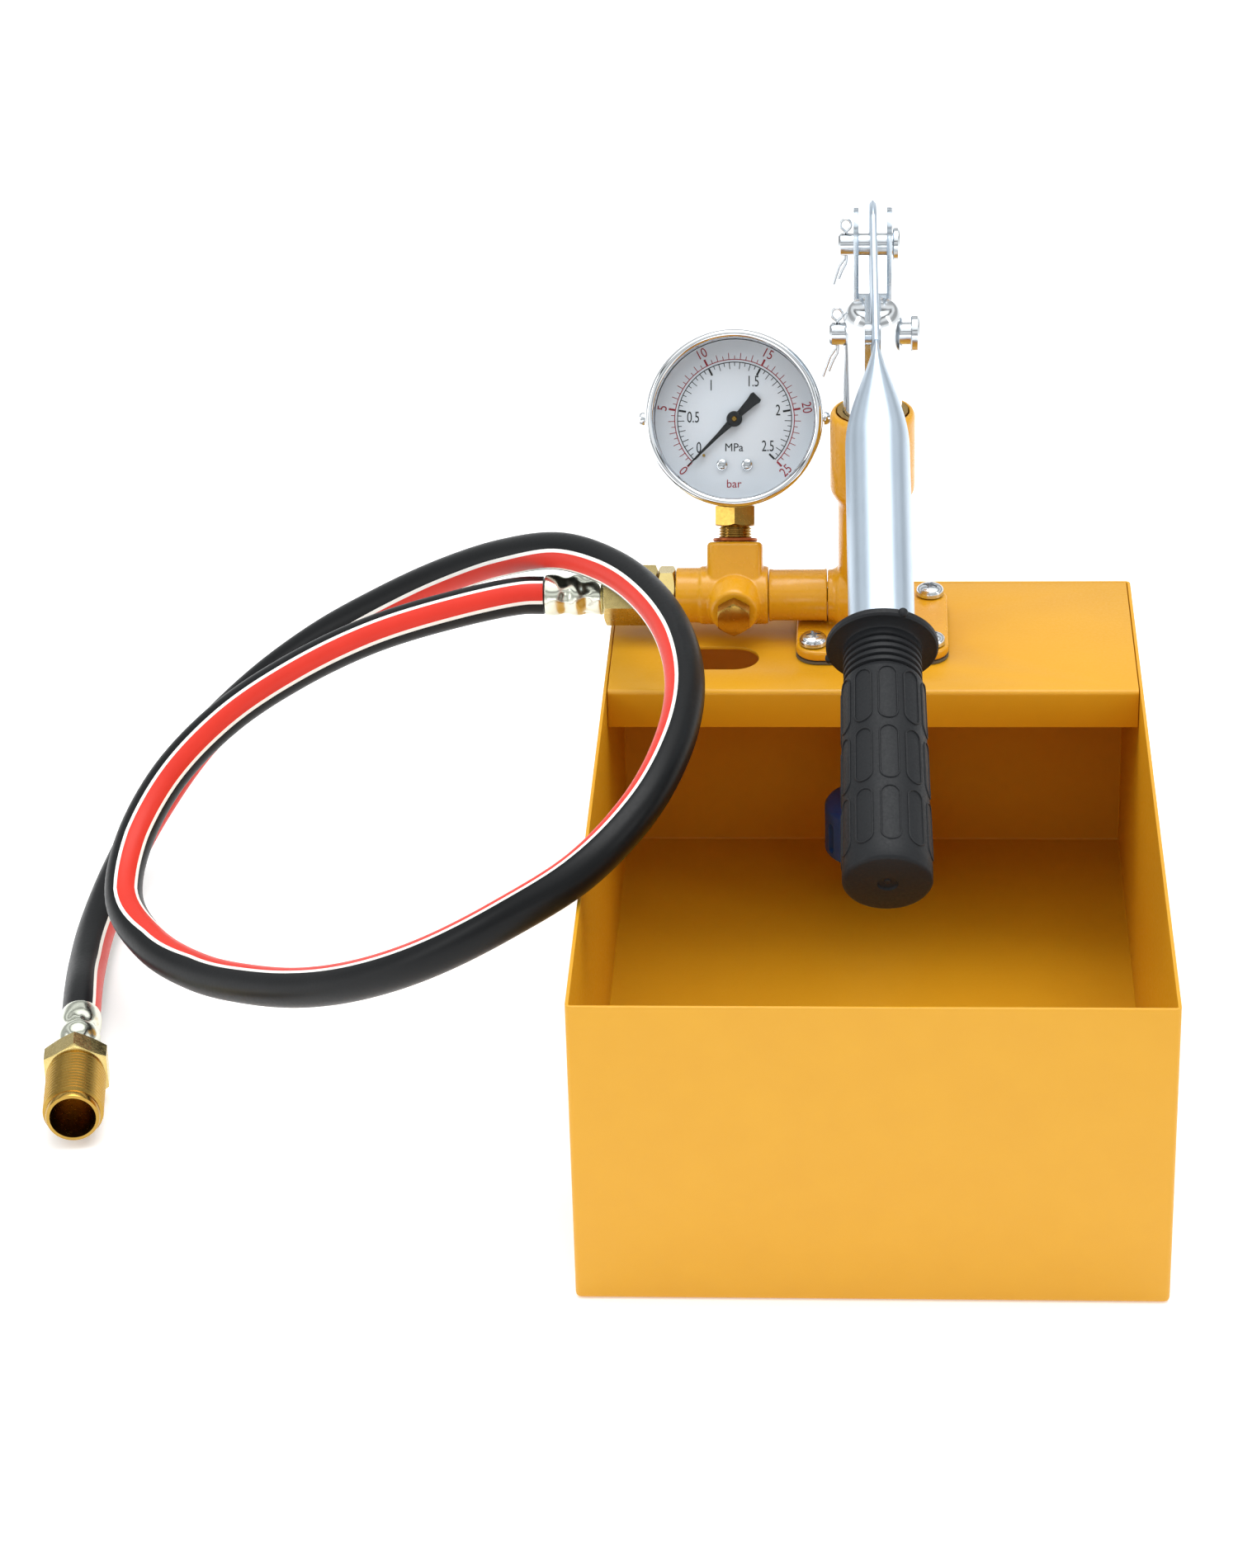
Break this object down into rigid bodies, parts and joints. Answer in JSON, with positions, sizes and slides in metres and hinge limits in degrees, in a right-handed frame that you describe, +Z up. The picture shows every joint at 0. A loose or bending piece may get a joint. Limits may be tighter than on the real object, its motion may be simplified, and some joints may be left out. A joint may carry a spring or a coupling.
{
  "type": "hydraulic hand pump",
  "caption": "Hand-lever pressure test pump on an open sheet-metal water tank, with a dial gauge, release valve and outlet hose.",
  "frame": {"origin": "middle of the tank's underside", "axes": "+X to the right, +Y to the rear where the pump stands, +Z up; the handle points to -Y"},
  "size_m": [0.387, 0.3218, 0.26],
  "materials": {
    "yellow_paint": "satin powder coat",
    "zinc": "bright zinc plate",
    "bright_steel": "polished",
    "brass": "yellow-green plated brass",
    "copper": "plain copper",
    "chrome": "polished",
    "white_enamel": "matt white",
    "black_enamel": "satin black",
    "gauge_glass": "clear",
    "black_rubber": "smooth",
    "grip_rubber": "moulded, satin",
    "fibre": "matt gasket sheet",
    "blue_plastic": "moulded"
  },
  "bodies": {
    "base": {"tank_body": "yellow_paint", "tank_cover": "yellow_paint", "pump_body": "yellow_paint", "outlet_pipe": "yellow_paint", "manifold_block": "yellow_paint", "foot_gasket": "fibre", "foot_screw_1": "zinc", "foot_screw_2": "zinc", "foot_screw_3": "zinc", "foot_screw_4": "zinc", "foot_nut_1": "zinc", "foot_nut_2": "zinc", "foot_nut_3": "zinc", "foot_nut_4": "zinc", "packing_ring": "black_rubber", "guide_bush": "brass", "suction_tube": "bright_steel", "strainer": "blue_plastic", "delivery_stop": "brass", "gauge_washer": "copper", "gauge_stem": "brass", "gauge_case": "chrome", "gauge_bezel": "chrome", "gauge_glass": "gauge_glass", "gauge_dial": "white_enamel", "bourdon_tube": "brass", "gauge_movement": "brass", "needle_stop": "brass", "dial_screw_1": "zinc", "dial_screw_2": "zinc", "bezel_screw_1": "zinc", "bezel_screw_2": "zinc", "outlet_nipple": "brass", "hose_ferrule": "zinc", "hose": "black_rubber", "end_ferrule": "zinc", "end_fitting": "brass", "link_pin": "zinc", "link_split_pin": "zinc"},
    "plunger": {"plunger": "bright_steel", "plunger_seal": "black_rubber", "plunger_pin": "zinc", "plunger_split_pin": "zinc"},
    "link": {"link": "zinc", "fulcrum_pin": "zinc", "fulcrum_split_pin": "zinc"},
    "handle": {"handle_tube": "zinc", "grip": "grip_rubber"},
    "needle": {"gauge_needle": "black_enamel"},
    "release_valve": {"release_valve_screw": "brass"},
    "union_nut": {"union_nut": "zinc"},
    "suction_ball": {"suction_ball": "bright_steel"},
    "delivery_ball": {"delivery_ball": "bright_steel"}
  },
  "joints": [
    {"name": "link_swing", "type": "hinge", "parent": "base", "child": "link", "pos_m": [0, 0.14859, 0.172], "axis": [-1, 0, 0], "range_deg": [0, 0.5]},
    {"name": "handle_lift", "type": "hinge", "parent": "link", "child": "handle", "pos_m": [0, 0.14859, 0.24379], "axis": [-1, 0, 0], "range_deg": [0, 48]},
    {"name": "plunger_slide", "type": "slide", "parent": "base", "child": "plunger", "axis": [0, 0, 1], "range_m": [0, 0.0355]},
    {"name": "gauge_needle_turn", "type": "hinge", "parent": "base", "child": "needle", "pos_m": [-0.0494, 0.13751, 0.18076], "axis": [0, 0.891, -0.454], "range_deg": [0, 270], "stiffness_Nm_per_rad": 0.0005},
    {"name": "release_valve_turn", "type": "hinge", "parent": "base", "child": "release_valve", "pos_m": [-0.0494, 0.109, 0.1248], "axis": [0, -1, 0], "range_deg": [0, 360]},
    {"name": "union_nut_spin", "type": "hinge", "parent": "base", "child": "union_nut", "pos_m": [-0.087, 0.109, 0.1248], "axis": [1, 0, 0], "continuous": true},
    {"name": "suction_ball_lift", "type": "slide", "parent": "base", "child": "suction_ball", "axis": [0, 0, 1], "range_m": [0, 0.0025]},
    {"name": "delivery_ball_travel", "type": "slide", "parent": "base", "child": "delivery_ball", "axis": [-1, 0, 0], "range_m": [0, 0.005]}
  ],
  "couplings": [
    {"joint": "plunger_slide", "follows": "handle_lift", "m_per_rad": 0.0423},
    {"joint": "link_swing", "follows": "handle_lift", "ratio": 0.01}
  ]
}
